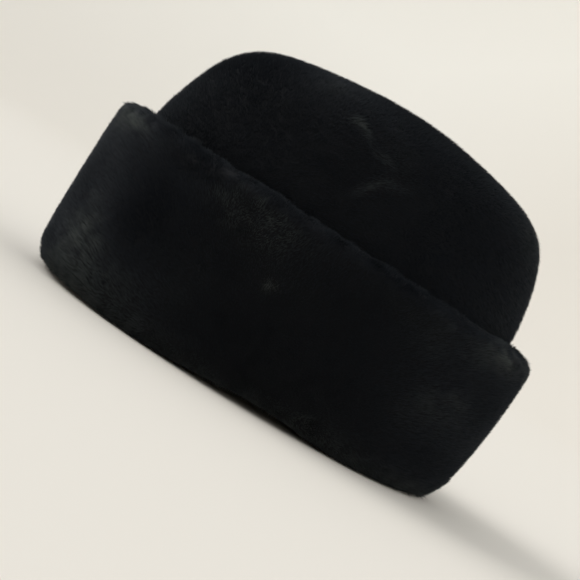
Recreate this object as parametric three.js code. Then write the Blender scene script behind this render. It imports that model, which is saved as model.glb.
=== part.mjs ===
// Cuffed fur cloche hat: a deep, gently domed fur crown inside a tall fur cuff that is turned up round it.
//
// Millimetres, +Z up. The wearer faces -Y, and the wearer's left side is +X.
// The origin lies on the resting surface, under the middle of the hat's length and width.
//
// Each piece is turned as a round form whose radius is the hat's half length. One shared map then gives it
// the oval plan of a head, the crown's lean to the back, the fall of the rim and the arched lower edge.

import * as THREE from 'three';

// Heights. The rim is the cuff's upper edge, and the hat rests tipped back, so the rim falls to the back.
const RIM_HEIGHT = 97;
const RIM_FALL = 6.5;
const TIPS_ABOUT_HEIGHT = 80;
const CROWN_LOWER_EDGE = 3.5;

// Half lengths, from the hat's middle to its front or back.
const CUFF_HALF_LENGTH = 129;
const CUFF_THICKNESS = 16.5;
const CROWN_WALL = 12;

// The crown's outline from its lower edge to the middle of its top, and how far it leans to the back there.
const CROWN_OUTLINE = [
  { aboveRim: CROWN_LOWER_EDGE - RIM_HEIGHT, halfLength: 111.8, lean: 0 },
  { aboveRim: -40, halfLength: 111.8, lean: 0 },
  { aboveRim: 0, halfLength: 111.4, lean: 0.5 },
  { aboveRim: 21, halfLength: 107, lean: 1.8 },
  { aboveRim: 42, halfLength: 99.5, lean: 2.5 },
  { aboveRim: 53, halfLength: 91.5, lean: 3.6 },
  { aboveRim: 60, halfLength: 80, lean: 3.7 },
  { aboveRim: 64.5, halfLength: 65, lean: 4 },
  { aboveRim: 69, halfLength: 42, lean: 5.2 },
  { aboveRim: 72, halfLength: 21, lean: 7.5 },
  { aboveRim: 73, halfLength: 0, lean: 8.8 },
];

// The cuff's section: a flat foot, a round lower corner, a nearly upright face and a round rim.
const FOOT_INNER = 113.8;
const FOOT_OUTER = 117.5;
const LOWER_CORNER_HEIGHT = 17;
const LOWER_FACE_INSET = 1.2;
const FULLEST_HEIGHT = 76;
const UPPER_CORNER = 8;
const RIM_SLOPE = 1;
const INNER_CORNER = 2;

// At the back the rim falls outwards and the lower corner is tucked in.
const BACK_RIM_DROP = 3;
const RIM_DROP_POWER = 4;
const BACK_TUCK = 8;
const BACK_TUCK_HEIGHT = 52;

// The oval plan: how much less the hat reaches to its sides than to its front and back.
const SIDE_SHORTFALL = 19;
const SHORTFALL_GROWS_OVER = 60;
const BACK_FULLNESS = 0.05;

// The lower edge arches over each ear, a little behind the middle.
const ARCH_RISE = 4;
const ARCH_ANGLE = THREE.MathUtils.degToRad(97);
const ARCH_HALF_WIDTH = THREE.MathUtils.degToRad(28);

// The lower edge is also lifted a little at the very front.
const FRONT_LIFT = 3;
const FRONT_LIFT_HALF_WIDTH = THREE.MathUtils.degToRad(72);

// Shallow dents and swells of the soft forms. The angle runs from the front, 0, to the back, 180.
const DENTS = [
  { piece: 'crown', angle: 122, height: 140, depth: 2.2, spread: 24 },
  { piece: 'crown', angle: 60, height: 128, depth: 1.4, spread: 30 },
  { piece: 'crown', angle: -75, height: 132, depth: 1.6, spread: 32 },
  { piece: 'crown', angle: -140, height: 138, depth: 1.4, spread: 26 },
  { piece: 'cuff', angle: 38, height: 70, depth: 1.5, spread: 22 },
  { piece: 'cuff', angle: 118, height: 30, depth: 1.3, spread: 30 },
  { piece: 'cuff', angle: 152, height: 78, depth: 1.2, spread: 18 },
  { piece: 'cuff', angle: -55, height: 55, depth: 1.5, spread: 30 },
  { piece: 'cuff', angle: -125, height: 62, depth: 1.4, spread: 28 },
];

// How finely the round forms are divided.
const STEPS_AROUND = 64;
const CROWN_STEPS = 25;
const CORNER_STEPS = 5;

const furOfCrown = new THREE.MeshStandardMaterial({ color: 0x101113, roughness: 0.92, metalness: 0 });
const furOfCuff = new THREE.MeshStandardMaterial({ color: 0x121415, roughness: 0.9, metalness: 0 });

// The reach to the side of a ring whose reach to the front and back is halfLength.
function sideReach(halfLength) {
  return halfLength - SIDE_SHORTFALL * Math.tanh(halfLength / SHORTFALL_GROWS_OVER);
}

// How far to the back the crown has leaned at a height.
function leanAt(height) {
  const above = height - RIM_HEIGHT;
  const next = CROWN_OUTLINE.findIndex((row) => row.aboveRim >= above);
  if (next === 0) return CROWN_OUTLINE[0].lean;
  if (next < 0) return CROWN_OUTLINE.at(-1).lean;
  const low = CROWN_OUTLINE[next - 1];
  const high = CROWN_OUTLINE[next];
  return THREE.MathUtils.mapLinear(above, low.aboveRim, high.aboveRim, low.lean, high.lean);
}

// A smooth hill: 1 at its middle and 0 from its half width outwards.
function hill(distance, halfWidth) {
  const away = Math.abs(distance) / halfWidth;
  return away < 1 ? 0.5 + 0.5 * Math.cos(Math.PI * away) : 0;
}

// How far the lower edge has risen at an angle from the front.
function riseAt(angle) {
  const arch = ARCH_RISE * hill(Math.abs(angle) - ARCH_ANGLE, ARCH_HALF_WIDTH);
  return arch + FRONT_LIFT * hill(angle, FRONT_LIFT_HALF_WIDTH);
}

// How far out in the cuff's thickness a place is, from its inner face, 0, to its outer face, 1.
function outwardShare(halfLength) {
  const innerFace = CUFF_HALF_LENGTH - CUFF_THICKNESS;
  return THREE.MathUtils.clamp((halfLength - innerFace) / CUFF_THICKNESS, 0, 1);
}

// How far the form is pressed in at a place on one piece. The cuff's inner face and what it covers stay.
function dentAt(piece, angle, height, halfLength) {
  const aboveRim = THREE.MathUtils.clamp((height - RIM_HEIGHT) / CUFF_THICKNESS, 0, 1);
  const share = piece === 'cuff' ? outwardShare(halfLength) : aboveRim;
  let depth = 0;
  for (const dent of DENTS) {
    if (dent.piece !== piece) continue;
    const turn = Math.atan2(
      Math.sin(angle - THREE.MathUtils.degToRad(dent.angle)),
      Math.cos(angle - THREE.MathUtils.degToRad(dent.angle)),
    );
    const along = turn * halfLength;
    const up = height - dent.height;
    depth += dent.depth * Math.exp(-(along ** 2 + up ** 2) / dent.spread ** 2);
  }
  return depth * share;
}

// Turns a section round the upright axis and maps the round form to the hat's form.
function turnedPiece(name, section, material) {
  const geometry = new THREE.LatheGeometry(section, STEPS_AROUND);
  geometry.rotateX(Math.PI / 2);
  const places = geometry.attributes.position;
  const place = new THREE.Vector3();
  const tip = RIM_FALL / (2 * CUFF_HALF_LENGTH);
  for (let i = 0; i < places.count; i += 1) {
    place.fromBufferAttribute(places, i);
    const round = Math.hypot(place.x, place.y);
    const angle = Math.atan2(place.x, -place.y);
    const height = place.z;
    const lowness = THREE.MathUtils.clamp(1 - height / RIM_HEIGHT, 0, 1);
    const highness = Math.min(height / RIM_HEIGHT, 1);
    const backness = 0.5 - 0.5 * Math.cos(angle);
    const outward = name === 'cuff' ? backness * outwardShare(round) : 0;
    const tuck = BACK_TUCK * outward * Math.max(0, 1 - height / BACK_TUCK_HEIGHT) ** 2;
    const halfLength = Math.max(0, round - tuck - dentAt(name, angle, height, round));
    const y = -halfLength * Math.cos(angle);
    const x = sideReach(halfLength) * Math.sin(angle);
    const drop = tip * y * highness + BACK_RIM_DROP * outward * highness ** RIM_DROP_POWER;
    places.setXYZ(
      i,
      x * (1 + BACK_FULLNESS * y / CUFF_HALF_LENGTH),
      y + leanAt(height) + tip * (height - TIPS_ABOUT_HEIGHT),
      height + riseAt(angle) * lowness - drop,
    );
  }
  geometry.computeVertexNormals();
  const mesh = new THREE.Mesh(geometry, material);
  mesh.name = name;
  return mesh;
}

// A quarter of an ellipse from one angle to another, without its first point.
function corner(centre, reach, from, to) {
  const points = [];
  for (let i = 1; i <= CORNER_STEPS; i += 1) {
    const turn = THREE.MathUtils.degToRad(from + (to - from) * i / CORNER_STEPS);
    points.push(new THREE.Vector2(
      centre.x + reach.x * Math.cos(turn),
      centre.y + reach.y * Math.sin(turn),
    ));
  }
  return points;
}

// The crown's section: down the inside from the axis, round the lower edge and up the outside.
function crownSection() {
  const rows = CROWN_OUTLINE.map((row) => new THREE.Vector3(row.halfLength, RIM_HEIGHT + row.aboveRim, 0));
  const outline = new THREE.CatmullRomCurve3(rows, false, 'centripetal');
  const outside = [];
  const inside = [];
  for (let i = 0; i <= CROWN_STEPS; i += 1) {
    const t = i / CROWN_STEPS;
    const at = outline.getPointAt(t);
    const along = outline.getTangentAt(t);
    const last = i === CROWN_STEPS;
    outside.push(new THREE.Vector2(last ? 0 : at.x, at.y));
    inside.push(new THREE.Vector2(
      last ? 0 : Math.max(0, at.x - CROWN_WALL * along.y),
      last ? at.y - CROWN_WALL : at.y + CROWN_WALL * along.x,
    ));
  }
  return [...inside.reverse(), ...outside];
}

// The cuff's section, closed on itself: along the foot, up the outside, over the rim and down the inside.
function cuffSection() {
  const inner = CUFF_HALF_LENGTH - CUFF_THICKNESS;
  const fullest = new THREE.Vector2(CUFF_HALF_LENGTH, FULLEST_HEIGHT);
  const lowerFace = CUFF_HALF_LENGTH - LOWER_FACE_INSET;
  const lowerCorner = new THREE.Vector2(lowerFace - FOOT_OUTER, LOWER_CORNER_HEIGHT);
  const points = [new THREE.Vector2(FOOT_INNER, 0), new THREE.Vector2(FOOT_OUTER, 0)];
  points.push(...corner(new THREE.Vector2(FOOT_OUTER, LOWER_CORNER_HEIGHT), lowerCorner, -90, 0));
  points.push(points.at(-1).clone().lerp(fullest, 0.5).setX(CUFF_HALF_LENGTH - LOWER_FACE_INSET / 3));
  points.push(fullest);
  points.push(new THREE.Vector2(CUFF_HALF_LENGTH, RIM_HEIGHT - RIM_SLOPE - UPPER_CORNER));
  points.push(...corner(
    new THREE.Vector2(CUFF_HALF_LENGTH - UPPER_CORNER, RIM_HEIGHT - RIM_SLOPE - UPPER_CORNER),
    new THREE.Vector2(UPPER_CORNER, UPPER_CORNER),
    0,
    90,
  ));
  points.push(new THREE.Vector2(inner + INNER_CORNER, RIM_HEIGHT));
  points.push(new THREE.Vector2(inner, RIM_HEIGHT - INNER_CORNER));
  points.push(new THREE.Vector2(inner, (RIM_HEIGHT + INNER_CORNER) / 2));
  points.push(new THREE.Vector2(inner, INNER_CORNER));
  points.push(points[0].clone());
  return points;
}

const hat = new THREE.Group();
hat.add(turnedPiece('crown', crownSection(), furOfCrown));
hat.add(turnedPiece('cuff', cuffSection(), furOfCuff));

export default hat;
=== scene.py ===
"""Dresses a cuffed fur cloche hat: skins, dense fur pile, plain inside, floor, light and camera.

The hat's front is at -Y, its back at +Y and its left side, which the camera sees, at +X.
"""

import logging
import math
from abc import ABC, abstractmethod
from collections.abc import Callable
from dataclasses import dataclass, field
from enum import Enum

import bmesh
import bpy
import numpy as np
from mathutils import Matrix, Vector


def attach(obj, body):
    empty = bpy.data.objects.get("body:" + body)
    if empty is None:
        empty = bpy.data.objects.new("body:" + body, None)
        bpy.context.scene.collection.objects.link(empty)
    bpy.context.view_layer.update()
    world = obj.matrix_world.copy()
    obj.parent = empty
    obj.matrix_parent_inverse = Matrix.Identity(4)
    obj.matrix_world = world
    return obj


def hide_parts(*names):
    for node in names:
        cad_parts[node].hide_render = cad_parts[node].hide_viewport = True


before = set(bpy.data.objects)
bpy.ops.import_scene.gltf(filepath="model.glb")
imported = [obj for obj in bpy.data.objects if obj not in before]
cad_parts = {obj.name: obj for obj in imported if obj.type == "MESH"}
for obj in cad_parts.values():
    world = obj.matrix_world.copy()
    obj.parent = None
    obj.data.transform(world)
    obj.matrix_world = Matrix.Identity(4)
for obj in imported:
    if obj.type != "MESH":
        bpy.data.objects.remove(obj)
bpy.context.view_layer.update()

MM = 0.001
TINY = 1e-12
PHOTO_PIXELS = 580
MM_PER_PIXEL = 0.5323

# Each strand has a small square of the bake map, with its points on a ring in it.
BAKE_MAP = "OFBake"
RING_RADIUS = 0.42
RING_TURN = 0.4

# The sockets of a Mix node that blends colours, by number.
MIX_SHARE = 0
MIX_FIRST = 6
MIX_SECOND = 7
MIX_RESULT = 2

# Mottling and painted shade below 0 darken the fur, and mottling, painted light and painted sheen above 0
# lighten it.
DARKEST_MOTTLE_AND_SHADE = -0.8
LIGHTEST_MOTTLE_AND_LIGHT = 1.0

Colour = tuple[float, float, float, float]

log = logging.getLogger("fur_hat")


class Layer(Enum):
    """The material slots of a skin: the pelt under the fur and the plain inside."""

    PELT = 0
    INSIDE = 1


class Stir(Enum):
    """What a wave stirs in the pile, each with its own step on from the pile's seed."""

    SWIRL = 10
    LOCK = 20
    CLUMP = 30
    RISE = 40


class Term:
    """A shader socket that takes part in Python arithmetic, which adds Math nodes behind it."""

    def __init__(self, bench: "Bench", socket: bpy.types.NodeSocket) -> None:
        """Wraps one output socket of a bench's tree."""
        self.bench = bench
        self.socket = socket

    def maths(self, operation: str, first: object, second: object) -> "Term":
        """Adds one Math node, with its operation and its two values or terms."""
        return self.bench.add("ShaderNodeMath", {"operation": operation}, {0: first, 1: second})

    def __add__(self, other: object) -> "Term":
        """The sum of two terms."""
        return self.maths("ADD", self, other)

    def __sub__(self, other: object) -> "Term":
        """This term less another."""
        return self.maths("SUBTRACT", self, other)

    def __rsub__(self, other: object) -> "Term":
        """Another term less this one."""
        return self.maths("SUBTRACT", other, self)

    def __mul__(self, other: object) -> "Term":
        """The product of two terms."""
        return self.maths("MULTIPLY", self, other)

    def __pow__(self, other: object) -> "Term":
        """This term raised to a power."""
        return self.maths("POWER", self, other)

    __radd__ = __add__
    __rmul__ = __mul__

    def clipped(self) -> "Term":
        """This term held between 0 and 1."""
        return self.bench.add("ShaderNodeClamp", {}, {"Value": self})


class Bench:
    """One material's node tree, to which finishes add their nodes."""

    def __init__(self, name: str) -> None:
        """Makes a material with an empty tree and one Principled shader.

        Args:
            name: The material's name.
        """
        self.material = bpy.data.materials.new(name)
        self.material.use_nodes = True
        self.tree = self.material.node_tree
        self.tree.nodes.clear()
        self.shader = self.tree.nodes.new("ShaderNodeBsdfPrincipled")
        output = self.tree.nodes.new("ShaderNodeOutputMaterial")
        self.tree.links.new(self.shader.outputs[0], output.inputs["Surface"])

    def feed(self, socket: bpy.types.NodeSocket, value: object) -> None:
        """Links a term to an input socket, or sets the socket to a plain value.

        Args:
            socket: The input socket.
            value: The term or the plain value.
        """
        if isinstance(value, Term):
            self.tree.links.new(value.socket, socket)
        else:
            socket.default_value = value

    def add(self, kind: str, settings: dict, inputs: dict, result: int | str = 0) -> Term:
        """Adds a node.

        Args:
            kind: The node's type.
            settings: The node's own properties, which are set first.
            inputs: Values or terms by socket name or number.
            result: The output to return.

        Returns:
            The chosen output as a term.
        """
        node = self.tree.nodes.new(kind)
        for name, value in settings.items():
            setattr(node, name, value)
        for name, value in inputs.items():
            self.feed(node.inputs[name], value)
        return Term(self, node.outputs[result])

    def place(self) -> Term:
        """The place on the piece in its own coordinates, in metres."""
        return self.add("ShaderNodeTexCoord", {}, {}, "Object")

    def noise(self, place: Term, size: float, detail: float) -> Term:
        """Cloudy noise from 0 to 1 whose clouds are about size metres across."""
        sockets = {"Vector": place, "Scale": 1.0 / size, "Detail": detail, "Roughness": 0.55}
        return self.add("ShaderNodeTexNoise", {}, sockets)

    def own(self, name: str) -> Term:
        """A number that the mesh holds at each of its points."""
        return self.add("ShaderNodeAttribute", {"attribute_name": name}, {}, "Fac")

    def blend(self, share: Term, first: object, second: object) -> Term:
        """A colour between two colours, by a share from 0 to 1."""
        sockets = {MIX_SHARE: share, MIX_FIRST: first, MIX_SECOND: second}
        return self.add("ShaderNodeMix", {"data_type": "RGBA"}, sockets, MIX_RESULT)

    def bump(self, height: Term, strength: float, distance: float) -> Term:
        """A normal that is bent by a height."""
        sockets = {"Height": height, "Strength": strength, "Distance": distance}
        return self.add("ShaderNodeBump", {}, sockets)

    def set_shader(self, **sockets: object) -> None:
        """Feeds the Principled shader, whose socket names have underscores for their spaces."""
        for name, value in sockets.items():
            self.feed(self.shader.inputs[name.replace("_", " ")], value)


def rgba(red: float, green: float, blue: float) -> Colour:
    """An opaque colour."""
    return (red, green, blue, 1.0)


@dataclass(frozen=True)
class FurFinish:
    """Dense sheared fur: dark at the root, a little lighter at the tip, with random mottling and soft
    patches of painted sheen and painted shade.
    """

    name: str
    root: Colour = rgba(0.0012, 0.0017, 0.0030)
    tip: Colour = rgba(0.0228, 0.0258, 0.0308)
    # The lighter colour that mottling, painted light and painted sheen blend the tips towards.
    mottle_and_painted_light_colour: Colour = rgba(0.064, 0.072, 0.066)
    tip_curve: float = 1.2
    strand_least: float = 0.45
    strand_range: float = 0.5
    grain_size: float = 5 * MM
    grain_least: float = 0.7
    grain_range: float = 0.6
    mottle_and_painted_light_least: float = 0.6
    mottle_and_painted_light_range: float = 0.8
    roughness: float = 0.66
    grain_roughness: float = 0.2
    dark_roughness: float = 0.45
    gloss: float = 0.12
    gloss_tint: Colour = rgba(0.84, 0.93, 1.0)
    sheen: float = 0.035
    sheen_roughness: float = 0.45
    sheen_tint: Colour = rgba(0.82, 0.92, 0.98)

    def material(self) -> bpy.types.Material:
        """Makes the material for strands, which hold how far along they are, their random tone with painted
        top shade, and their mottling with painted light, sheen and shade.

        Returns:
            The finished material.
        """
        bench = Bench(self.name)
        along = bench.own("along")
        strand = bench.own("strand")
        mottle_and_painted_light = bench.own("mottle_and_painted_light")
        # Below 0, mottling and painted shade darken the tips and roughen them.
        full = (mottle_and_painted_light + 1).clipped()
        grain = bench.noise(bench.place(), self.grain_size, 4.0)
        by_strand = self.strand_least + strand * self.strand_range
        by_grain = self.grain_least + grain * self.grain_range
        tipward = (along ** self.tip_curve * full * by_strand * by_grain).clipped()
        colour = bench.blend(tipward, self.root, self.tip)
        # Above 0, mottling, painted light and painted sheen blend the tips towards the lighter colour.
        mottle_and_painted_light_share = mottle_and_painted_light * along * (self.mottle_and_painted_light_least + grain * self.mottle_and_painted_light_range)
        colour = bench.blend(mottle_and_painted_light_share.clipped(), colour, self.mottle_and_painted_light_colour)
        grainy = self.roughness + (grain - 0.5) * self.grain_roughness
        bench.set_shader(
            Base_Color=colour,
            Roughness=(grainy + (1 - full) * self.dark_roughness).clipped(),
            Specular_IOR_Level=self.gloss,
            Specular_Tint=self.gloss_tint,
            Sheen_Weight=self.sheen,
            Sheen_Roughness=self.sheen_roughness,
            Sheen_Tint=self.sheen_tint,
        )
        return bench.material


@dataclass(frozen=True)
class SkinFinish:
    """The pelt between the strands, nearly black and rough."""

    name: str
    shade: Colour = rgba(0.0012, 0.0016, 0.0026)
    lighter: Colour = rgba(0.003, 0.0036, 0.005)
    grain_size: float = 0.9 * MM
    grain_depth: float = 0.4 * MM
    roughness: float = 0.8
    gloss: float = 0.2

    def material(self) -> bpy.types.Material:
        """Makes the material, with a fine rough grain.

        Returns:
            The finished material.
        """
        bench = Bench(self.name)
        grain = bench.noise(bench.place(), self.grain_size, 2.0)
        bench.set_shader(
            Base_Color=bench.blend(grain, self.shade, self.lighter),
            Roughness=(self.roughness + grain * 0.15).clipped(),
            Specular_IOR_Level=self.gloss,
            Normal=bench.bump(grain, 0.6, self.grain_depth),
        )
        return bench.material


@dataclass(frozen=True)
class InsideFinish:
    """The plain dark inside, a close-woven cloth."""

    name: str
    shade: Colour = rgba(0.010, 0.0101, 0.0115)
    lighter: Colour = rgba(0.017, 0.0172, 0.019)
    thread: float = 0.55 * MM
    thread_depth: float = 0.15 * MM
    unevenness: float = 0.6
    cloud_size: float = 30 * MM
    weave_share: float = 0.4
    cloud_share: float = 0.6
    roughness: float = 0.62
    gloss: float = 0.35
    sheen: float = 0.1

    def material(self) -> bpy.types.Material:
        """Makes the material: two crossed sets of threads, under soft clouds.

        Returns:
            The finished material.
        """
        bench = Bench(self.name)
        place = bench.place()
        threads = {
            "Vector": place,
            "Scale": 1 / (self.thread * math.tau),
            "Distortion": self.unevenness,
        }
        warp = bench.add("ShaderNodeTexWave", {"bands_direction": "Z"}, threads, "Fac")
        weft = bench.add("ShaderNodeTexWave", {"bands_direction": "DIAGONAL"}, threads, "Fac")
        weave = warp * 0.5 + weft * 0.5
        cloud = bench.noise(place, self.cloud_size, 3.0)
        light = (weave * self.weave_share + cloud * self.cloud_share).clipped()
        bench.set_shader(
            Base_Color=bench.blend(light, self.shade, self.lighter),
            Roughness=(self.roughness + cloud * 0.2).clipped(),
            Specular_IOR_Level=self.gloss,
            Sheen_Weight=self.sheen,
            Normal=bench.bump(weave, 0.35, self.thread_depth),
        )
        return bench.material


@dataclass(frozen=True)
class PaperFinish:
    """The plain pale floor, with painted light that makes it lighter where it sweeps up into a wall, and
    painted shade towards +Y.
    """

    name: str
    floor: Colour = rgba(0.815, 0.765, 0.690)
    wall: Colour = rgba(0.935, 0.900, 0.830)
    wall_height: float = 0.5
    back_shade: float = 1.4
    cloud_size: float = 0.5
    cloud_range: float = 0.1
    roughness: float = 0.9
    gloss: float = 0.1

    def material(self) -> bpy.types.Material:
        """Makes the material, with painted light that grows lighter with height and painted shade that
        grows darker towards +Y.

        Returns:
            The finished material.
        """
        bench = Bench(self.name)
        place = bench.place()
        cloud = bench.noise(place, self.cloud_size, 2.0)
        back = bench.add("ShaderNodeSeparateXYZ", {}, {"Vector": place}, "Y").clipped()
        height = bench.add("ShaderNodeSeparateXYZ", {}, {"Vector": place}, "Z")
        # Painted light up the wall and painted shade towards +Y, over random clouds.
        share = height * (1 / self.wall_height) - back * self.back_shade
        share = (share + (cloud - 0.5) * self.cloud_range).clipped()
        bench.set_shader(
            Base_Color=bench.blend(share, self.floor, self.wall),
            Roughness=self.roughness,
            Specular_IOR_Level=self.gloss,
        )
        return bench.material


@dataclass(frozen=True)
class Waves:
    """Smooth noise for arrays of places: a sum of sine waves in chosen directions."""

    size: float
    seed: int
    count: int = 9
    slowest: float = 0.6
    quickest: float = 1.5

    def at(self, places: np.ndarray) -> np.ndarray:
        """Works the noise out, with features about size metres across.

        Args:
            places: One place in each row, in metres.

        Returns:
            A number of about -1 to 1 for each place.
        """
        rng = np.random.default_rng(self.seed)
        ways = rng.normal(size=(self.count, 3))
        ways /= np.linalg.norm(ways, axis=1, keepdims=True)
        pace = rng.uniform(self.slowest, self.quickest, self.count) * math.pi / self.size
        phase = rng.uniform(0, math.tau, self.count)
        total = np.zeros(len(places))
        for way, quick, start in zip(ways, pace, phase):
            total += np.sin(places @ way * quick + start)
        return total / math.sqrt(self.count)


def unit(vectors: np.ndarray) -> np.ndarray:
    """Each row at length 1."""
    return vectors / np.maximum(np.linalg.norm(vectors, axis=1, keepdims=True), TINY)


def dressed(name: str, mesh: bpy.types.Mesh, slot: str, node: str, *finishes: bpy.types.Material) -> None:
    """Makes an object of a finished mesh that rides on the hat and stands for its CAD node.

    Args:
        name: The object's name.
        mesh: Its mesh, with each point in its place on the hat.
        slot: Not used.
        node: The CAD node that it stands for.
        finishes: Its materials, in the order of the mesh's material numbers.
    """
    piece = bpy.data.objects.new(name, mesh)
    bpy.context.scene.collection.objects.link(piece)
    for finish in finishes:
        mesh.materials.append(finish)
    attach(piece, "root")
    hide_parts(node)
    log.info("%s: %d faces", name, len(mesh.polygons))


@dataclass
class Skin:
    """A smooth skin made from a CAD node, drawn in where fur grows on it so that the fur fills the form.

    build() fills in the mesh, its points' places and normals, its triangles' corners, and how furry
    each point is.
    """

    node: str
    furry: Callable[[np.ndarray, np.ndarray], np.ndarray]
    pile_depth: float
    levels: int = 1
    weld: float = 0.01 * MM
    join_angle: float = math.radians(40)
    pelt_from: float = 0.05
    mesh: bpy.types.Mesh = field(init=False)
    places: np.ndarray = field(init=False)
    normals: np.ndarray = field(init=False)
    corners: np.ndarray = field(init=False)
    grows: np.ndarray = field(init=False)

    def smoothed(self) -> bpy.types.Mesh:
        """Merges a copy of the node, joins its triangles in pairs and subdivides it.

        Returns:
            The smooth mesh.
        """
        bm = bmesh.new()
        bm.from_mesh(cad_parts[self.node].data)
        bmesh.ops.remove_doubles(bm, verts=bm.verts, dist=self.weld)
        bmesh.ops.join_triangles(
            bm, faces=bm.faces, angle_face_threshold=self.join_angle, angle_shape_threshold=math.pi
        )
        rough = bpy.data.meshes.new(self.node + "_rough")
        bm.to_mesh(rough)
        bm.free()
        holder = bpy.data.objects.new(self.node + "_rough", rough)
        bpy.context.scene.collection.objects.link(holder)
        finer = holder.modifiers.new("finer", "SUBSURF")
        finer.levels = self.levels
        finer.render_levels = self.levels
        seen = holder.evaluated_get(bpy.context.evaluated_depsgraph_get())
        mesh = bpy.data.meshes.new_from_object(seen)
        bpy.data.objects.remove(holder)
        mesh.name = self.node + "_skin"
        return mesh

    def build(self) -> None:
        """Makes the smooth mesh, draws its furry side in by the pile's depth and sorts its faces."""
        mesh = self.smoothed()
        count = len(mesh.vertices)
        places = np.empty(count * 3)
        normals = np.empty(count * 3)
        mesh.vertices.foreach_get("co", places)
        mesh.vertices.foreach_get("normal", normals)
        places = places.reshape(-1, 3)
        normals = normals.reshape(-1, 3)
        self.grows = self.furry(places, normals)
        places = places - normals * (self.pile_depth * self.grows[:, None])
        mesh.vertices.foreach_set("co", places.ravel())
        for face in mesh.polygons:
            covered = np.mean(self.grows[list(face.vertices)]) > self.pelt_from
            face.material_index = (Layer.PELT if covered else Layer.INSIDE).value
            face.use_smooth = True
        mesh.update()
        mesh.calc_loop_triangles()
        corners = np.empty(len(mesh.loop_triangles) * 3, np.int32)
        mesh.loop_triangles.foreach_get("vertices", corners)
        self.mesh = mesh
        self.places = places
        self.normals = normals
        self.corners = corners.reshape(-1, 3)


@dataclass(frozen=True)
class Roots:
    """Where strands stand on a skin, and which way is out there."""

    places: np.ndarray
    outward: np.ndarray

    def chosen(self, which: np.ndarray) -> "Roots":
        """The roots that an array of numbers picks."""
        return Roots(self.places[which], self.outward[which])


@dataclass(frozen=True)
class Sower:
    """Scatters roots evenly over the furry part of a skin."""

    skin: Skin
    seed: int
    furry_from: float = 0.35

    def scatter(self, count: int) -> Roots:
        """Picks places at random, evenly by area, where fur grows.

        Args:
            count: How many roots to sow.

        Returns:
            The roots with their outward directions.
        """
        rng = np.random.default_rng(self.seed)
        skin = self.skin
        faces = skin.corners[skin.grows[skin.corners].min(axis=1) > self.furry_from]
        a, b, c = (skin.places[faces[:, i]] for i in range(3))
        areas = np.linalg.norm(np.cross(b - a, c - a), axis=1) / 2
        face = rng.choice(len(faces), count, p=areas / areas.sum())
        one, two = rng.random(count), rng.random(count)
        # Two random shares fill a square, so its far half is folded back onto the triangle.
        fold = one + two > 1
        one[fold] = 1 - one[fold]
        two[fold] = 1 - two[fold]
        shares = np.stack([1 - one - two, one, two], axis=1)
        places = np.einsum("ij,ijk->ik", shares, skin.places[faces[face]])
        outward = unit(np.einsum("ij,ijk->ik", shares, skin.normals[faces[face]]))
        return Roots(places, outward)


@dataclass(frozen=True)
class Patch:
    """A soft oval patch on the hat's left side, in millimetres and degrees, that paints light and sheen
    above 0 and shade below 0, and ruffles and strokes the pile.
    """

    along: float
    height: float
    length: float
    depth: float
    turn: float
    # How much painted light and sheen (above 0) or painted shade (below 0) the patch adds.
    mottle_and_painted_light: float
    ruffle: float = 0.0
    lay: float = 0.0
    edge: float = 1.4
    side_fade: float = 15

    def weight(self, places: np.ndarray) -> np.ndarray:
        """Works out how much of the patch each place gets.

        Args:
            places: One place in each row, in metres.

        Returns:
            A share from 0 to 1 for each place, which fades out towards the hat's right side.
        """
        turn = math.radians(self.turn)
        off = places[:, 1] / MM - self.along
        up = places[:, 2] / MM - self.height
        u = (off * math.cos(turn) + up * math.sin(turn)) / self.length
        v = (up * math.cos(turn) - off * math.sin(turn)) / self.depth
        side = np.clip(places[:, 0] / (self.side_fade * MM), 0, 1)
        return np.exp(-((u * u + v * v) ** self.edge)) * side


@dataclass(frozen=True)
class PileMarks:
    """How mottled and how ruffled the pile is at each root, with its painted light, sheen and shade, and
    which way it was stroked flat.
    """

    mottle_and_painted_light: np.ndarray
    ruffle: np.ndarray
    stroke: np.ndarray


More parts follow.
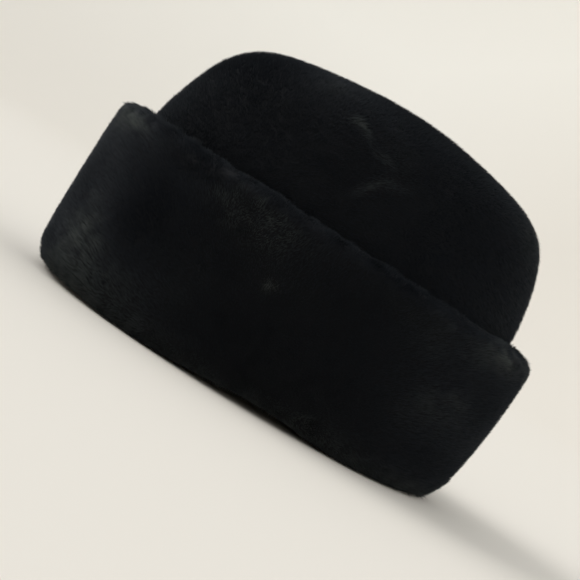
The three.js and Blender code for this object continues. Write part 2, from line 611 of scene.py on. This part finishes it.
@dataclass(frozen=True)
class Grooming:
    """What marks and ruffles a pile: patches of painted light, sheen and shade, on top of mottling clouds
    that are stronger on the hat's right.
    """

    patches: tuple[Patch, ...]
    seed: int
    cloud_size: float = 34 * MM
    small_cloud_size: float = 15 * MM
    small_cloud: float = 0.5
    tuft_size: float = 7 * MM
    tuft: float = 0.4
    small_tuft_size: float = 3 * MM
    small_tuft: float = 0.25
    side_fade: float = 30 * MM
    wear_left: float = 0.08
    wear_right: float = 0.14
    ruffle_left: float = 0.05
    ruffle_right: float = 0.15
    ruffle_lift: float = 0.4

    def marks(self, roots: Roots) -> PileMarks:
        """Adds the patches of painted light, sheen and shade up on top of the mottling clouds, and breaks
        the lighter patches up into tufts.

        Args:
            roots: Where the strands stand.

        Returns:
            The marks at each root.
        """
        places = roots.places
        cloud = Waves(self.cloud_size, self.seed).at(places)
        cloud = cloud + self.small_cloud * Waves(self.small_cloud_size, self.seed + 1).at(places)
        coarse = Waves(self.tuft_size, self.seed + 2).at(places)
        fine = Waves(self.small_tuft_size, self.seed + 2).at(places)
        tufts = 1 + self.tuft * coarse + self.small_tuft * fine
        far = np.clip(-places[:, 0] / self.side_fade, 0, 1)
        mottle_and_painted_light = (self.wear_left + self.wear_right * far * tufts) * cloud
        ruffle = (self.ruffle_left + self.ruffle_right * far) * np.clip(cloud + self.ruffle_lift, 0, 2)
        stroke = np.zeros((len(cloud), 3))
        for patch in self.patches:
            weight = patch.weight(places)
            turn = math.radians(patch.turn)
            # Patches add painted light and sheen above 0, and painted shade below 0.
            mottle_and_painted_light = mottle_and_painted_light + patch.mottle_and_painted_light * weight * (tufts if patch.mottle_and_painted_light > 0 else 1)
            ruffle = ruffle + patch.ruffle * weight
            stroke[:, 1] += patch.lay * weight * math.cos(turn)
            stroke[:, 2] += patch.lay * weight * math.sin(turn)
        return PileMarks(np.clip(mottle_and_painted_light, DARKEST_MOTTLE_AND_SHADE, LIGHTEST_MOTTLE_AND_LIGHT), np.clip(ruffle, 0, 1), stroke)


# In each patch, a value above 0 is painted sheen and painted light, which the tufts break up, and a value
# below 0 is painted shade; ruffle and lay ruffle and stroke the pile.
CROWN_PATCHES = (
    Patch(along=-12, height=145, length=9, depth=2.5, turn=-30, mottle_and_painted_light=0.35, ruffle=0.3, lay=1.2),
    Patch(along=1, height=139, length=8, depth=2.5, turn=-12, mottle_and_painted_light=0.35, ruffle=0.3, lay=1.2),
    Patch(along=-19, height=147, length=4, depth=3, turn=0, mottle_and_painted_light=0.5, ruffle=0.4, lay=0.8),
    Patch(along=3, height=121, length=9, depth=3, turn=50, mottle_and_painted_light=0.25, ruffle=0.3, lay=1.0),
    Patch(along=14, height=129, length=8, depth=2.5, turn=10, mottle_and_painted_light=0.2, ruffle=0.3, lay=1.0),
    Patch(along=-38, height=157, length=16, depth=5, turn=8, mottle_and_painted_light=0.12, ruffle=0.3),
    Patch(along=-80, height=128, length=36, depth=30, turn=0, mottle_and_painted_light=-0.5),
    Patch(along=-78, height=150, length=36, depth=11, turn=25, mottle_and_painted_light=-0.5),
    Patch(along=12, height=165, length=46, depth=10, turn=-8, mottle_and_painted_light=-0.75),
    Patch(along=34, height=150, length=34, depth=14, turn=-20, mottle_and_painted_light=-0.12),
    Patch(along=87, height=146, length=11, depth=20, turn=20, mottle_and_painted_light=0.12, ruffle=0.4),
    Patch(along=55, height=116, length=30, depth=24, turn=-15, mottle_and_painted_light=-0.45, ruffle=0.3),
)
# The cuff's patches likewise: painted sheen and painted light above 0, painted shade below 0.
CUFF_PATCHES = (
    Patch(along=-114, height=94, length=17, depth=10, turn=0, mottle_and_painted_light=0.9, ruffle=0.25),
    Patch(along=-118, height=46, length=9, depth=30, turn=0, mottle_and_painted_light=-0.3, ruffle=0.2),
    Patch(along=-103, height=33, length=12, depth=15, turn=0, mottle_and_painted_light=0.25),
    Patch(along=-114, height=45, length=6, depth=3, turn=40, mottle_and_painted_light=0.22, ruffle=0.8, lay=1.0),
    Patch(along=-98, height=20, length=24, depth=16, turn=0, mottle_and_painted_light=0.42, ruffle=0.2),
    Patch(along=-122, height=12, length=9, depth=14, turn=0, mottle_and_painted_light=-0.5),
    Patch(along=-85, height=61, length=16, depth=26, turn=0, mottle_and_painted_light=-0.5),
    Patch(along=-72, height=62, length=24, depth=30, turn=0, mottle_and_painted_light=-0.3),
    Patch(along=-85, height=89, length=8, depth=5, turn=0, mottle_and_painted_light=0.2, ruffle=0.5, lay=0.8),
    Patch(along=-51, height=94, length=12, depth=5, turn=0, mottle_and_painted_light=0.2, ruffle=0.6, lay=0.8),
    Patch(along=-70, height=89, length=14, depth=8, turn=0, mottle_and_painted_light=-0.5, ruffle=0.3, lay=0.4),
    Patch(along=45, height=92, length=16, depth=6, turn=0, mottle_and_painted_light=-0.4),
    Patch(along=-10.5, height=57, length=4, depth=3.5, turn=0, mottle_and_painted_light=1.3, ruffle=0.9, lay=0.8),
    Patch(along=-34, height=80, length=26, depth=12, turn=0, mottle_and_painted_light=0.6, ruffle=0.4, lay=0.8),
    Patch(along=8, height=93, length=18, depth=5, turn=0, mottle_and_painted_light=0.12, ruffle=0.5, lay=0.6),
    Patch(along=66, height=91, length=16, depth=6, turn=0, mottle_and_painted_light=0.15, ruffle=0.6, lay=0.5),
    Patch(along=110, height=88, length=18, depth=10, turn=-8, mottle_and_painted_light=0.8, ruffle=0.8),
    Patch(along=75, height=78, length=20, depth=14, turn=0, mottle_and_painted_light=0.15, ruffle=0.3, lay=0.3),
    Patch(along=36, height=5, length=20, depth=9, turn=0, mottle_and_painted_light=0.4, ruffle=0.3),
    Patch(along=-25, height=5, length=16, depth=8, turn=0, mottle_and_painted_light=0.25, ruffle=0.3),
    Patch(along=94, height=47, length=18, depth=14, turn=0, mottle_and_painted_light=0.28, ruffle=0.25, lay=0.3),
    Patch(along=112, height=60, length=12, depth=22, turn=0, mottle_and_painted_light=-0.25),
    Patch(along=100, height=16, length=24, depth=14, turn=0, mottle_and_painted_light=-0.35),
)


@dataclass(frozen=True)
class Pile:
    """A pile of tapering strands, each a slender spike of three faces."""

    # How much painted shade darkens the strands that face up, against the light from above.
    painted_top_shade: float
    seed: int
    height: float = 2.6 * MM
    height_spread: float = 0.12
    width: float = 0.38 * MM
    thinnest: float = 0.75
    thickest: float = 1.3
    darkest: float = 0.25
    lightest: float = 0.75
    plush: float = 0.4
    lean: float = math.radians(30)
    lean_spread: float = math.radians(5)
    strongest_brush: float = 1.8
    least_rise: float = 0.35
    clump_size: float = 4.5 * MM
    clump_lean: float = 0.03
    lock_size: float = 6 * MM
    lock_lean: float = 0.75
    lock_rise: float = 0.26
    lock_trim: float = 0.3
    swirl_size: float = 34 * MM
    swirl: float = 0.2
    sink: float = 0.5 * MM
    floor_gap: float = 0.3 * MM

    def waves(self, size: float, stir: Stir, places: np.ndarray) -> np.ndarray:
        """Smooth noise in three directions at each place."""
        return np.stack([Waves(size, self.seed + stir.value + i).at(places) for i in range(3)], axis=1)

    def directions(self, roots: Roots, nap: np.ndarray, marks: PileMarks, rng: np.random.Generator) -> np.ndarray:
        """Works out which way each strand points.

        Args:
            roots: Where the strands stand.
            nap: The way that the fur is brushed at each root, up to a length of 1 for a full lean.
            marks: Where the pile is ruffled into locks.
            rng: The source of the spread.

        Returns:
            One unit vector for each strand.
        """
        ruffle = marks.ruffle[:, None]
        brushed = nap + marks.stroke + self.swirl * self.waves(self.swirl_size, Stir.SWIRL, roots.places)
        brushed += self.lock_lean * ruffle * self.waves(self.lock_size, Stir.LOCK, roots.places)
        # Only the part of the brushing that runs along the skin leans a strand over.
        brushed -= roots.outward * np.sum(brushed * roots.outward, axis=1, keepdims=True)
        force = np.minimum(np.linalg.norm(brushed, axis=1), self.strongest_brush)
        lean = self.lean * force + self.lean_spread * rng.normal(size=len(force))
        way = roots.outward * np.cos(lean)[:, None] + unit(brushed) * np.sin(lean)[:, None]
        return unit(way + self.clump_lean * self.waves(self.clump_size, Stir.CLUMP, roots.places))

    def spikes(
        self, roots: Roots, way: np.ndarray, marks: PileMarks, rng: np.random.Generator
    ) -> tuple[np.ndarray, np.ndarray]:
        """Shapes the strands, each with three points round its foot and one at its tip.

        Args:
            roots: Where the strands stand.
            way: Which way each strand points.
            marks: Where the pile is ruffled into locks.
            rng: The source of the spread.

        Returns:
            The places of each strand's points, and the way that counts as out for light at each.
        """
        count = len(roots.places)
        rise = np.maximum(np.sum(way * roots.outward, axis=1), self.least_rise)
        swell = self.lock_rise * Waves(self.lock_size, self.seed + Stir.RISE.value).at(roots.places)
        lock = 1 + marks.ruffle * (swell - self.lock_trim)
        tall = self.height * lock * (1 + self.height_spread * rng.normal(size=count))
        reach = (tall + self.sink) / rise
        side = unit(np.cross(way, unit(rng.normal(size=(count, 3)))))
        other = np.cross(way, side)
        foot = roots.places - roots.outward * self.sink
        half = (self.width * rng.uniform(self.thinnest, self.thickest, count) / 2)[:, None]
        rows = []
        shading = []
        for turn in (0.0, math.tau / 3, 2 * math.tau / 3):
            spoke = side * math.cos(turn) + other * math.sin(turn)
            rows.append(foot + spoke * half)
            shading.append(unit(spoke * (1 - self.plush) + roots.outward * self.plush))
        rows.append(foot + way * reach[:, None])
        shading.append(roots.outward)
        points = np.stack(rows, axis=1)
        points[:, :, 2] = np.maximum(points[:, :, 2], self.floor_gap)
        return points, np.stack(shading, axis=1)

    def grow(self, name: str, roots: Roots, nap: np.ndarray, marks: PileMarks) -> bpy.types.Mesh:
        """Makes one joined mesh of strands.

        Args:
            name: The mesh's name.
            roots: Where the strands stand.
            nap: The way that the fur is brushed at each root.
            marks: How mottled and how ruffled the pile is at each root, with its painted light, sheen and
                shade.

        Returns:
            The mesh, with the numbers that its finish reads and a map for baking.
        """
        rng = np.random.default_rng(self.seed + len(name))
        count = len(roots.places)
        way = self.directions(roots, nap, marks, rng)
        points, shading = self.spikes(roots, way, marks, rng)
        # Each strand's own random tone, with painted shade that darkens it the more it faces up.
        upward = np.clip(roots.outward[:, 2], 0, 1)
        light = rng.uniform(self.darkest, self.lightest, count) * (1 - self.painted_top_shade * upward)
        numbers = {
            "along": np.tile([0.0, 0.0, 0.0, 1.0], count),
            "strand": np.repeat(light, 4),
            # Mottling with painted light, sheen and shade, which the finish reads.
            "mottle_and_painted_light": np.repeat(marks.mottle_and_painted_light, 4),
        }
        faces = np.array([[0, 1, 3], [1, 2, 3], [2, 0, 3]])
        return joined_mesh(name, points, faces, shading, numbers)


def joined_mesh(
    name: str, points: np.ndarray, faces: np.ndarray, shading: np.ndarray, numbers: dict[str, np.ndarray]
) -> bpy.types.Mesh:
    """Joins many copies of one small shape in one mesh.

    Args:
        name: The mesh's name.
        points: The places of each copy's points, by copy and point.
        faces: One copy's triangles.
        shading: The way that counts as out for light at each copy's points, by copy and point.
        numbers: Values for each point of the whole mesh, by attribute name.

    Returns:
        The mesh, smooth, with a square of the bake map for each copy.
    """
    copies, each = points.shape[:2]
    corners = (faces[None] + np.arange(copies)[:, None, None] * each).reshape(-1)
    mesh = bpy.data.meshes.new(name)
    mesh.vertices.add(copies * each)
    mesh.vertices.foreach_set("co", points.reshape(-1).astype(np.float32))
    mesh.loops.add(len(corners))
    mesh.loops.foreach_set("vertex_index", corners.astype(np.int32))
    mesh.polygons.add(len(corners) // 3)
    mesh.polygons.foreach_set("loop_start", np.arange(0, len(corners), 3, dtype=np.int32))
    mesh.polygons.foreach_set("use_smooth", np.ones(len(corners) // 3, bool))
    mesh.update(calc_edges=True)
    for attribute, values in numbers.items():
        held = mesh.attributes.new(attribute, "FLOAT", "POINT")
        held.data.foreach_set("value", np.asarray(values, np.float32))
    across = math.ceil(math.sqrt(copies))
    cell = np.arange(copies)
    origin = np.stack([cell % across, cell // across], axis=1)[:, None]
    turn = np.linspace(0, math.tau, each, endpoint=False) + RING_TURN
    ring = 0.5 + RING_RADIUS * np.stack([np.cos(turn), np.sin(turn)], axis=1)
    spots = ((origin + ring[None]) / across).reshape(-1, 2)
    layer = mesh.uv_layers.new(name=BAKE_MAP)
    layer.uv.foreach_set("vector", spots[corners].astype(np.float32).ravel())
    mesh.validate()
    mesh.normals_split_custom_set_from_vertices(shading.reshape(-1, 3))
    return mesh


@dataclass
class FurPiece(ABC):
    """One CAD node of the hat as a skin with fur on it, in sections from the front to the back."""

    node: str
    sections: tuple[str, ...]
    strands: int
    root_seed: int
    pile: Pile
    grooming: Grooming
    stands_proud: float = 0.95 * MM

    @abstractmethod
    def furry(self, places: np.ndarray, normals: np.ndarray) -> np.ndarray:
        """How furry each point of the skin is, from 0 to 1."""

    @abstractmethod
    def nap(self, roots: Roots) -> np.ndarray:
        """The way that the fur is brushed at each root."""

    def marks(self, skin: Skin, roots: Roots) -> PileMarks:
        """How mottled and how ruffled the pile is at each root, with its painted light, sheen and shade."""
        return self.grooming.marks(roots)

    def build(self) -> None:
        """Builds the piece's skin and then its fur."""
        slot = self.node + "_fur"
        skin = Skin(self.node, self.furry, self.pile.height - self.stands_proud)
        skin.build()
        pelt = SkinFinish(self.node + "_pelt").material()
        inside = InsideFinish(self.node + "_inside").material()
        dressed(self.node + "_skin", skin.mesh, slot, self.node, pelt, inside)
        roots = Sower(skin, self.root_seed).scatter(self.strands)
        finish = FurFinish(slot).material()
        order = np.argsort(roots.places[:, 1])
        for name, part in zip(self.sections, np.array_split(order, len(self.sections))):
            share = roots.chosen(part)
            mesh = self.pile.grow(name, share, self.nap(share), self.marks(skin, share))
            dressed(name, mesh, slot, self.node, finish)


@dataclass
class Crown(FurPiece):
    """The deep crown: its skin and the fur above the rim."""

    node: str = "crown"
    sections: tuple[str, ...] = ("crown_fur_front", "crown_fur_back")
    strands: int = 125000
    root_seed: int = 11
    pile: Pile = Pile(painted_top_shade=0.95, seed=100)
    grooming: Grooming = Grooming(CROWN_PATCHES, 300)
    rim_height: float = 88 * MM
    middle_height: float = 70 * MM
    half_width: float = 90 * MM
    half_length: float = 100 * MM
    fade: float = 6 * MM
    fan_sideways: float = 0.3
    fan_lengthwise: float = 0.2
    climb: float = 0.9
    backward: float = 0.95
    downward: float = 0.1

    def furry(self, places: np.ndarray, normals: np.ndarray) -> np.ndarray:
        """Finds the outside above the rim.

        Args:
            places: The skin's points.
            normals: The way out at each point.

        Returns:
            How furry each point is: 1 on the outside above the rim, 0 inside and below.
        """
        out = places - np.array([0, 0, self.middle_height])
        outside = np.sum(out * normals, axis=1) > 0
        above = np.clip((places[:, 2] - self.rim_height) / self.fade + 1, 0, 1)
        return above * outside

    def nap(self, roots: Roots) -> np.ndarray:
        """Brushes the crown to the back: up its front, over its top and down its back.

        Args:
            roots: Where the strands stand.

        Returns:
            The way that the fur is brushed at each root.
        """
        fan = np.array([self.fan_sideways / self.half_width, self.fan_lengthwise / self.half_length, 0.0])
        spread = roots.places * fan
        spread[:, 2] = -self.climb * roots.places[:, 1] / self.half_length
        return spread + np.array([0.0, self.backward, -self.downward])


@dataclass
class Cuff(FurPiece):
    """The tall turned-up cuff: its skin and the fur on its face, rim and lower edge."""

    node: str = "cuff"
    sections: tuple[str, ...] = ("cuff_fur_front", "cuff_fur_sides", "cuff_fur_back")
    strands: int = 185000
    root_seed: int = 21
    pile: Pile = Pile(painted_top_shade=0.9, seed=200)
    grooming: Grooming = Grooming(CUFF_PATCHES, 400)
    fur_from: float = -0.75
    fur_fade: float = 0.4
    nap_reach: float = 90 * MM
    nap_limit: float = 1.2
    nap_curve: float = 2.8
    forward: float = 1.2
    backward: float = 0.85
    upward: float = 0.8
    sides: int = 60
    rim_band: float = 5 * MM
    rim_ruffle: float = 0.9
    # Painted shade along the rim's top, which the light from above catches.
    rim_painted_shade: float = -0.75
    foot_band: float = 13 * MM
    foot_ruffle: float = 0.8
    # Painted light along the lower edge, which the floor shades.
    foot_painted_light: float = 0.5
    most_ruffle: float = 1.3

    def furry(self, places: np.ndarray, normals: np.ndarray) -> np.ndarray:
        """Finds all of the cuff but its face against the crown.

        Args:
            places: The skin's points.
            normals: The way out at each point.

        Returns:
            How furry each point is: 0 on the face against the crown and 1 elsewhere.
        """
        radial = unit(places * np.array([1.0, 1.0, 0.0]))
        facing = np.sum(radial * normals, axis=1)
        return np.clip((facing - self.fur_from) / self.fur_fade, 0, 1)

    def nap(self, roots: Roots) -> np.ndarray:
        """Brushes the cuff upwards, and from the middle of each side to the front and the back.

        Args:
            roots: Where the strands stand.

        Returns:
            The way that the fur is brushed at each root.
        """
        along = np.clip(roots.places[:, 1] / self.nap_reach, -self.nap_limit, self.nap_limit)
        spread = np.where(along < 0, -self.forward, self.backward) * np.abs(along) ** self.nap_curve
        return np.stack([np.zeros(len(along)), spread, np.full(len(along), self.upward)], axis=1)

    def marks(self, skin: Skin, roots: Roots) -> PileMarks:
        """Works out the pile's marks, with its rim and its lower edge more ruffled, painted shade along the
        rim's top and painted light along the lower edge.

        Args:
            skin: The cuff's skin.
            roots: Where the strands stand.

        Returns:
            The marks at each root.
        """
        marks = self.grooming.marks(roots)
        height = roots.places[:, 2]
        near_rim = np.exp(-(((self.rim_heights(skin, roots.places) - height) / self.rim_band) ** 2))
        near_foot = np.exp(-((height / self.foot_band) ** 2))
        ruffle = marks.ruffle + self.rim_ruffle * near_rim + self.foot_ruffle * near_foot
        # Painted shade along the rim's top, which the light from above catches, and painted light along the
        # lower edge, which the floor shades.
        mottle_and_painted_light = marks.mottle_and_painted_light + self.rim_painted_shade * near_rim + self.foot_painted_light * near_foot
        mottle_and_painted_light = np.clip(mottle_and_painted_light, DARKEST_MOTTLE_AND_SHADE, LIGHTEST_MOTTLE_AND_LIGHT)
        return PileMarks(mottle_and_painted_light, np.clip(ruffle, 0, self.most_ruffle), marks.stroke)

    def rim_heights(self, skin: Skin, places: np.ndarray) -> np.ndarray:
        """Finds the height of the rim in the direction of each place.

        Args:
            skin: The cuff's skin.
            places: One place in each row.

        Returns:
            The rim's height at each place.
        """
        steps = np.floor((np.arctan2(skin.places[:, 0], skin.places[:, 1]) / math.tau + 0.5) * self.sides)
        tops = np.zeros(self.sides)
        np.maximum.at(tops, np.clip(steps, 0, self.sides - 1).astype(int), skin.places[:, 2])
        turns = (np.arctan2(places[:, 0], places[:, 1]) / math.tau + 0.5) * self.sides - 0.5
        return np.interp(turns, np.arange(self.sides), tops, period=self.sides)


@dataclass(frozen=True)
class Lamp:
    """A broad soft light so far off that only its direction counts."""

    name: str
    towards: tuple[float, float, float]
    softness: float
    strength: float

    def hang(self) -> None:
        """Adds the light to the scene, turned to shine from its direction."""
        light = bpy.data.lights.new(self.name, "SUN")
        light.angle = self.softness
        light.energy = self.strength
        lamp = bpy.data.objects.new(self.name, light)
        lamp.rotation_mode = "QUATERNION"
        lamp.rotation_quaternion = Vector(self.towards).to_track_quat("Z", "Y")
        bpy.context.scene.collection.objects.link(lamp)


@dataclass(frozen=True)
class Stage:
    """A pale floor that sweeps up all round, and soft studio light."""

    floor_radius: float = 2.2
    sweep_radius: float = 1.25
    steps: int = 48
    sweep_steps: int = 14
    key: Lamp = Lamp("key_lamp", (-0.1, -0.85, 0.52), math.radians(50), 1.6)
    fill: Lamp = Lamp("fill_lamp", (0.9, 0.5, 0.55), math.radians(70), 0.3)
    room_colour: Colour = rgba(0.95, 0.98, 1.0)
    room_strength: float = 0.76

    def floor(self) -> None:
        """Spins the floor's outline round the upright axis."""
        bm = bmesh.new()
        outline = [(0.0, 0.0), (self.floor_radius / 2, 0.0), (self.floor_radius, 0.0)]
        for i in range(1, self.sweep_steps + 1):
            turn = math.pi / 2 * i / self.sweep_steps
            outline.append((
                self.floor_radius + self.sweep_radius * math.sin(turn),
                self.sweep_radius * (1 - math.cos(turn)),
            ))
        points = [bm.verts.new((x, 0.0, z)) for x, z in outline]
        edges = [bm.edges.new(pair) for pair in zip(points, points[1:])]
        bmesh.ops.spin(
            bm, geom=points + edges, cent=(0, 0, 0), axis=(0, 0, 1), angle=math.tau,
            steps=self.steps, use_merge=True,
        )
        bmesh.ops.remove_doubles(bm, verts=bm.verts, dist=MM)
        bmesh.ops.recalc_face_normals(bm, faces=bm.faces)
        mesh = bpy.data.meshes.new("pale_floor")
        bm.to_mesh(mesh)
        bm.free()
        mesh.polygons.foreach_set("use_smooth", np.ones(len(mesh.polygons), bool))
        mesh.materials.append(PaperFinish("pale_floor").material())
        floor = bpy.data.objects.new("pale_floor", mesh)
        bpy.context.scene.collection.objects.link(floor)

    def light(self) -> None:
        """Hangs the lamps and sets the even light of the room."""
        self.key.hang()
        self.fill.hang()
        world = bpy.data.worlds.new("room")
        world.use_nodes = True
        room = world.node_tree.nodes["Background"]
        room.inputs["Color"].default_value = self.room_colour
        room.inputs["Strength"].default_value = self.room_strength
        bpy.context.scene.world = world

    def build(self) -> None:
        """Builds the floor and the light, and shows colours plainly."""
        self.floor()
        self.light()
        bpy.context.scene.view_settings.view_transform = "Standard"


@dataclass(frozen=True)
class Viewpoint:
    """The camera at the photograph's angle: square on to the hat's left side, rolled."""

    distance: float = 1.0
    height: float = 95.3 * MM
    along: float = -1.68 * MM
    aim_height: float = 56.8 * MM
    roll: float = math.radians(31.41)
    view_width: float = PHOTO_PIXELS * MM_PER_PIXEL * MM
    sensor: float = 36.0
    nearest: float = 0.05
    farthest: float = 20.0

    def build(self) -> None:
        """Places the camera and makes it the scene's own."""
        place = Vector((self.distance, self.along, self.height))
        aim = Vector((0.0, self.along, self.aim_height))
        lens = bpy.data.cameras.new("side_camera")
        lens.sensor_width = self.sensor
        lens.lens = lens.sensor_width * (aim - place).length / self.view_width
        lens.clip_start = self.nearest
        lens.clip_end = self.farthest
        camera = bpy.data.objects.new("side_camera", lens)
        turn = (aim - place).to_track_quat("-Z", "Y").to_matrix()
        turn = turn @ Matrix.Rotation(self.roll, 3, "Z")
        camera.matrix_world = Matrix.Translation(place) @ turn.to_4x4()
        bpy.context.scene.collection.objects.link(camera)
        bpy.context.scene.camera = camera


def main() -> None:
    """Builds the hat, then what it is seen by."""
    logging.basicConfig(level=logging.INFO, format="%(name)s %(message)s")
    Crown().build()
    Cuff().build()
    Stage().build()
    Viewpoint().build()


if __name__ == "__main__":
    main()
